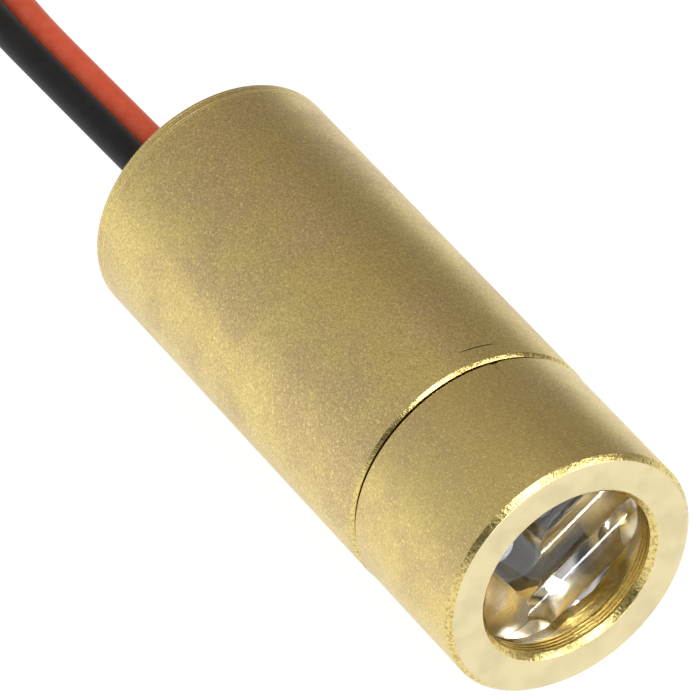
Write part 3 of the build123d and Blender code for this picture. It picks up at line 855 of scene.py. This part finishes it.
def coil_points(s, radius, tail_x):
    """Control points of one lead's coil: a turn on the surface, a climb, half a turn and the tail."""
    low_z = floor_z + s.diameter / 2
    points = [(s.coil_x, s.coil_y + radius, low_z)]
    # The line runs inside its control points, so they stand this much outside the turn
    r = radius * (4 / (3 + math.cos(2 * math.pi / s.turn_points)))
    sweep = COIL_END - COIL_START
    steps = round(sweep / 360 * s.turn_points)
    for n in range(1, steps):
        angle = COIL_START + sweep * n / steps
        near_tie = sum(smooth_step(1 - abs(angle - at) / TIE_REACH) for at in TIE_ANGLES)
        climb = s.diameter * smooth_step((angle - CLIMB_START) / CLIMB_SPAN)
        turn = math.radians(angle)
        z = low_z + climb + s.tie_lift * near_tie
        points.append((s.coil_x + r * math.cos(turn), s.coil_y + r * math.sin(turn), z))
    span = tail_x - s.coil_x
    for share, height in TAIL_SLOPE:
        points.append((s.coil_x + span * share, s.coil_y - radius, low_z + s.diameter * height))
    return points


def cord_piece(name, points, diameter, material):
    """A smooth round cord on its control points."""
    line = bpy.data.curves.new(name, "CURVE")
    line.dimensions = "3D"
    line.bevel_depth = diameter / 2
    line.bevel_resolution = 6
    line.use_fill_caps = True
    line.resolution_u = 14
    line.materials.append(material)
    spline = line.splines.new("NURBS")
    spline.points.add(len(points) - 1)
    for target, point in zip(spline.points, points):
        target.co = (*point, 1)
    spline.order_u = 3
    spline.use_endpoint_u = True
    return placed(name, line)


def strand_tree():
    """Geometry nodes that twist bare strands round a middle one, along +X from a start point."""
    helix_steps, wire_sides = 48, 12
    tree = bpy.data.node_groups.new("twisted_strands", "GeometryNodeTree")
    sockets = {
        "Start": "NodeSocketVector", "Length": "NodeSocketFloat", "Strand radius": "NodeSocketFloat",
        "Strands": "NodeSocketInt", "Turns": "NodeSocketFloat", "Material": "NodeSocketMaterial",
    }
    for name, kind in sockets.items():
        tree.interface.new_socket(name, in_out="INPUT", socket_type=kind)
    tree.interface.new_socket("Geometry", in_out="OUTPUT", socket_type="NodeSocketGeometry")

    def node(kind, inputs=(), **settings):
        return add_node(tree, kind, inputs, **settings)

    def times(first, second):
        return node("ShaderNodeMath", {0: first, 1: second}, operation="MULTIPLY").outputs[0]

    given = node("NodeGroupInput").outputs
    around = times(given["Strand radius"], 2.0)
    helix = node(
        "GeometryNodeCurveSpiral",
        {"Resolution": helix_steps, "Rotations": given["Turns"], "Start Radius": around,
         "End Radius": around, "Height": given["Length"]},
    ).outputs["Curve"]
    places = node("GeometryNodePoints", {"Count": given["Strands"]}).outputs["Points"]
    index = node("GeometryNodeInputIndex").outputs["Index"]
    step_inputs = {0: 2 * math.pi, 1: given["Strands"]}
    step = node("ShaderNodeMath", step_inputs, operation="DIVIDE").outputs[0]
    turn = node("ShaderNodeCombineXYZ", {"Z": times(index, step)}).outputs["Vector"]
    spread = {"Points": places, "Instance": helix, "Rotation": turn}
    outer = node("GeometryNodeInstanceOnPoints", spread)
    end = node("ShaderNodeCombineXYZ", {"Z": given["Length"]}).outputs["Vector"]
    middle = node("GeometryNodeCurvePrimitiveLine", {"End": end}).outputs["Curve"]
    wires = node("GeometryNodeJoinGeometry")
    tree.links.new(outer.outputs["Instances"], wires.inputs["Geometry"])
    tree.links.new(middle, wires.inputs["Geometry"])
    loose = node("GeometryNodeRealizeInstances", {"Geometry": wires.outputs["Geometry"]})
    ring = {"Resolution": wire_sides, "Radius": given["Strand radius"]}
    section = node("GeometryNodeCurvePrimitiveCircle", ring)
    tubes = node(
        "GeometryNodeCurveToMesh",
        {"Curve": loose.outputs["Geometry"], "Profile Curve": section.outputs["Curve"],
         "Fill Caps": True},
    )
    laid = node(
        "GeometryNodeTransform",
        {"Geometry": tubes.outputs["Mesh"], "Translation": given["Start"],
         "Rotation": (0, math.pi / 2, 0)},
    )
    real = node("GeometryNodeRealizeInstances", {"Geometry": laid.outputs["Geometry"]})
    paint_inputs = {"Geometry": real.outputs["Geometry"], "Material": given["Material"]}
    painted = node("GeometryNodeSetMaterial", paint_inputs)
    result = node("NodeGroupOutput")
    tree.links.new(painted.outputs["Geometry"], result.inputs["Geometry"])
    return tree


def twisted_end(name, node, tree, settings, material):
    """One lead's stripped end, made by the strand tree and turned into a plain mesh."""
    radii_across = 6
    low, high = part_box(node)
    values = {
        "Start": (low.x, (low.y + high.y) / 2, (low.z + high.z) / 2),
        "Length": high.x - low.x,
        "Strand radius": (high.z - low.z) / radii_across,
        "Strands": settings.strands,
        "Turns": settings.strand_turns,
        "Material": material,
    }
    maker = mesh_piece(name + "_maker", bmesh.new(), [])
    modifier = maker.modifiers.new("strands", "NODES")
    modifier.node_group = tree
    for item in tree.interface.items_tree:
        if item.in_out == "INPUT":
            modifier[item.identifier] = values[item.name]
    evaluated = maker.evaluated_get(bpy.context.evaluated_depsgraph_get())
    mesh = bpy.data.meshes.new_from_object(evaluated)
    mesh.name = name
    maker.modifiers.remove(modifier)
    bpy.data.objects.remove(maker)
    for polygon in mesh.polygons:
        polygon.use_smooth = True
    mesh.set_sharp_from_angle(angle=METAL_EDGE)
    return finish_piece(placed(name, mesh), "tinned_copper", node)


class MODULE_OT_leads(bpy.types.Operator):
    """Lays both leads from the potting to the coil, and winds the coil"""

    bl_idname = "module.leads"
    bl_label = "Leads"

    def execute(self, context):
        s = context.scene.module_leads
        inner = s.coil_diameter / 2 - s.diameter / 2
        outer = s.coil_diameter / 2 + s.diameter / 2
        tinned = plain_metal("tinned_wire", (0.74, 0.73, 0.70), 0.3, depth=0.004 * MM)
        tree = strand_tree()
        for colour, route, radius in (("red", RED_ROUTE, outer), ("black", BLACK_ROUTE, inner)):
            end_node = colour + "_lead_end"
            tail_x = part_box(end_node)[0].x
            bare_end = twisted_end(colour + "_bare_end", end_node, tree, s, tinned)
            points = [Vector(point) * MM for point in route] + coil_points(s, radius, tail_x)
            insulation = lead_insulation(colour + "_insulation", getattr(s, colour), LEAD_FADES[colour])
            cord = cord_piece(colour + "_lead_cord", points, s.diameter, insulation)
            finish_piece(cord, colour + "_insulation", colour + "_lead", "lead_coil")
        return {"FINISHED"}


def paint(node, material):
    """Gives a CAD node's faces one finish."""
    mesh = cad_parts[node].data
    mesh.materials.clear()
    mesh.materials.append(material)


class MODULE_OT_inner_pieces(bpy.types.Operator):
    """Gives the pieces inside the housing, and the coil's tie, their finishes"""

    bl_idname = "module.inner_pieces"
    bl_label = "Inner pieces"

    def execute(self, context):
        # Painted light: the inner brass is paler and lighter than the outside, so that the inside of
        # the housing looks lit.
        brass = plain_metal("inner_brass_painted_light", (0.98, 0.86, 0.58), 0.3)
        tinned = plain_metal("tinned_strands", (0.72, 0.71, 0.68), 0.3, depth=0.004 * MM)
        gold = plain_metal("gold_plate", (0.90, 0.66, 0.28), 0.2)
        ceramic = moulded("fired_ceramic", (0.76, 0.68, 0.56), 0.5)
        black = moulded("black_moulding", (0.03, 0.03, 0.03), 0.45)
        chip = moulded("polished_chip", (0.10, 0.10, 0.13), 0.2)
        finishes = {
            "lens_retaining_ring": brass,
            # Painted shade: the lens cell is a dark blue-grey that stands in for the shade in the bore
            # seen through the lens.
            "lens_cell": plain_metal("cell_dark_for_painted_shade", (0.20, 0.215, 0.25), 0.25),
            "diode_clamp_ring": brass,
            "collimating_lens": clear_glass("collimator_glass", (0.45, 0.52, 0.66), (0.5, 0.6, 1.0)),
            "diode_window": clear_glass("window_glass", (0.9, 0.95, 1.0), WHITE),
            "lens_spring": plain_metal("spring_wire", (0.62, 0.62, 0.60), 0.25),
            "diode_base": gold,
            "diode_pins": gold,
            "diode_can": plain_metal("can_plate", (0.72, 0.70, 0.64), 0.28),
            "laser_submount": ceramic,
            "laser_chip": chip,
            "monitor_photodiode": chip,
            "diode_pin_seals": moulded("seal_glass", (0.20, 0.35, 0.30), 0.15),
            "driver_board": moulded("board_mask", (0.03, 0.20, 0.08), 0.3),
            "driver_chip": black,
            "driver_resistors": black,
            "driver_capacitor": ceramic,
            "power_trimmer": moulded("white_moulding", (0.78, 0.78, 0.74), 0.4),
            "lead_cores": tinned,
            "solder_joints": plain_metal("bright_solder", (0.70, 0.70, 0.70), 0.2),
            "coil_tie": moulded("tie_nylon", (0.03, 0.03, 0.03), 0.35),
        }
        for node, material in finishes.items():
            paint(node, material)
        return {"FINISHED"}


# The camera stands 283 mm from the front ring and looks 40.5 degrees down on it, from -Y
CAMERA_PLACE = Vector((186.6, -116.1, 189.1)) * MM
CAMERA_RIGHT = Vector((0.5236, 0.8520, 0.0))
CAMERA_UP = Vector((-0.5533, 0.3400, 0.7603))

# Each soft light: its place, its size, its share of the key's power and its colour
LIGHTS = {
    "key_softbox": ((0.373, -0.033, 0.330), (0.16, 0.16), 1.0, WHITE),
    "front_strip": ((0.50, 0.0, 0.02), (0.10, 0.16), 1.6, WHITE),
    "right_softbox": ((0.40, 0.30, 0.20), (0.20, 0.20), 1.1, WHITE),
    "top_softbox": ((0.06, -0.02, 0.50), (0.20, 0.20), 1.4, (1.0, 0.93, 0.86)),
}

# The floor, and how its glow fades away from the module
FLOOR_HALF = 3.0
FLOOR_GAP = 0.02 * MM
GLOW_FULL, GLOW_FADED = 0.06, 0.30
FADED_GLOW = (0.62, 0.62, 0.63)

# The room: the way to its light side, its colours from dim to light, the way to its dark
# patch, how near to that the patch starts and is full, and the light left there
LIGHT_SIDE = (0.0, -0.866, -0.5)
ROOM_LEVELS = (
    (0.13, (0.31, 0.285, 0.26)),
    (0.29, (0.38, 0.345, 0.32)),
    (0.50, (0.51, 0.49, 0.47)),
    (0.72, (0.66, 0.66, 0.66)),
    (0.87, (0.80, 0.80, 0.80)),
)
DARK_PATCH = (0.758, -0.614, 0.220)
PATCH_START, PATCH_FULL, PATCH_LIGHT = 0.92, 0.975, 0.06


def soft_light(name, place, size, power, colour):
    """A rectangular soft light that faces the module."""
    light = bpy.data.lights.new(name, "AREA")
    light.shape = "RECTANGLE"
    light.size, light.size_y = size
    light.energy = power
    light.color = colour
    lamp = placed(name, light)
    lamp.location = place
    facing = Vector((0, 0, 0)) - Vector(place)
    lamp.rotation_euler = facing.to_track_quat("-Z", "Y").to_euler()


class MODULE_OT_stage(bpy.types.Operator):
    """Sets the camera, the pale floor, the soft lights and the room"""

    bl_idname = "module.stage"
    bl_label = "Stage"

    def execute(self, context):
        s = context.scene.module_stage
        scene = context.scene
        scene.view_settings.view_transform = "Standard"
        scene.cycles.max_bounces = s.bounces
        scene.cycles.transmission_bounces = s.bounces
        scene.cycles.glossy_bounces = s.bounces // 2
        scene.cycles.diffuse_bounces = s.bounces // 4
        self.add_camera(scene, s)
        if s.show_floor:
            self.add_floor(s)
        self.add_room(scene)
        for name, (place, size, share, colour) in LIGHTS.items():
            soft_light(name, place, size, share * s.key_power, colour)
        return {"FINISHED"}

    def add_camera(self, scene, s):
        """The photograph's viewpoint."""
        view = bpy.data.cameras.new("camera")
        view.sensor_width = 36
        view.lens = s.focal_length
        view.clip_start = 0.01
        view.clip_end = 20
        backward = CAMERA_RIGHT.cross(CAMERA_UP)
        turn = Matrix((CAMERA_RIGHT, CAMERA_UP, backward)).transposed().to_4x4()
        camera = placed("camera", view)
        camera.matrix_world = Matrix.Translation(CAMERA_PLACE) @ turn
        scene.camera = camera

    def add_floor(self, s):
        """A wide pale floor under the module, which glows most near it."""
        shape = bmesh.new()
        half, z = FLOOR_HALF, floor_z - FLOOR_GAP
        corners = [(-half, -half), (half, -half), (half, half), (-half, half)]
        shape.faces.new([shape.verts.new((x, y, z)) for x, y in corners])
        grey = (0.12, 0.12, 0.12)
        table = Finish("light_table", Base_Color=grey, Roughness=0.9, Emission_Strength=s.floor_glow)
        away = table.node("VectorMath", {0: table.place()}, operation="LENGTH").outputs["Value"]
        fall = table.ramp(away, GLOW_FULL, GLOW_FADED)
        table.set("Emission Color", table.mix(fall, WHITE, FADED_GLOW))
        mesh_piece("pale_floor", shape, [table.material])

    def add_room(self, scene):
        """Light low on the camera's left, dimmer above on its right, with a dark patch in front."""
        world = bpy.data.worlds.new("studio")
        world.use_nodes = True
        scene.world = world
        tree = world.node_tree
        background = tree.nodes["Background"]
        direction = add_node(tree, "ShaderNodeTexCoord").outputs["Generated"]

        def towards(side):
            inputs = {0: direction, 1: side}
            made = add_node(tree, "ShaderNodeVectorMath", inputs, operation="DOT_PRODUCT")
            return made.outputs["Value"]

        halved = {0: towards(LIGHT_SIDE), 1: 0.5, 2: 0.5}
        share = add_node(tree, "ShaderNodeMath", halved, operation="MULTIPLY_ADD").outputs["Value"]
        ramp = add_node(tree, "ShaderNodeValToRGB", {"Fac": share})
        stops = ramp.color_ramp.elements
        while len(stops) < len(ROOM_LEVELS):
            stops.new(1.0)
        for stop, (position, level) in zip(stops, ROOM_LEVELS):
            stop.position = position
            stop.color = (*level, 1)
        patch = {
            "Value": towards(DARK_PATCH), "From Min": PATCH_START, "From Max": PATCH_FULL,
            "To Min": 1.0, "To Max": PATCH_LIGHT,
        }
        strength = add_node(tree, "ShaderNodeMapRange", patch, interpolation_type="SMOOTHSTEP")
        tree.links.new(ramp.outputs["Color"], background.inputs["Color"])
        tree.links.new(strength.outputs["Result"], background.inputs["Strength"])


class MODULE_PT_panel(bpy.types.Panel):
    """Lists the operators that make the module"""

    bl_label = "Laser module"
    bl_idname = "MODULE_PT_panel"
    bl_space_type = "VIEW_3D"
    bl_region_type = "UI"
    bl_category = "Laser module"

    def draw(self, context):
        for operator in OPERATORS:
            self.layout.operator(operator.bl_idname)


SETTINGS = {
    "module_housing": HousingSettings,
    "module_lens": LensSettings,
    "module_leads": LeadSettings,
    "module_stage": StageSettings,
}
OPERATORS = [
    MODULE_OT_stage,
    MODULE_OT_leads,
    MODULE_OT_front_cap,
    MODULE_OT_barrel,
    MODULE_OT_cross_line_lens,
    MODULE_OT_rear_plug,
    MODULE_OT_inner_pieces,
]


def register():
    for kind in [*SETTINGS.values(), *OPERATORS, MODULE_PT_panel]:
        bpy.utils.register_class(kind)
    for name, kind in SETTINGS.items():
        setattr(bpy.types.Scene, name, PointerProperty(type=kind))


def unregister():
    for name in SETTINGS:
        delattr(bpy.types.Scene, name)
    for kind in reversed([*SETTINGS.values(), *OPERATORS, MODULE_PT_panel]):
        bpy.utils.unregister_class(kind)


def main():
    register()
    bpy.ops.module.stage()
    bpy.ops.module.leads()
    bpy.ops.module.front_cap()
    bpy.ops.module.barrel()
    bpy.ops.module.cross_line_lens()
    bpy.ops.module.rear_plug()
    bpy.ops.module.inner_pieces()


if __name__ == "__main__":
    main()
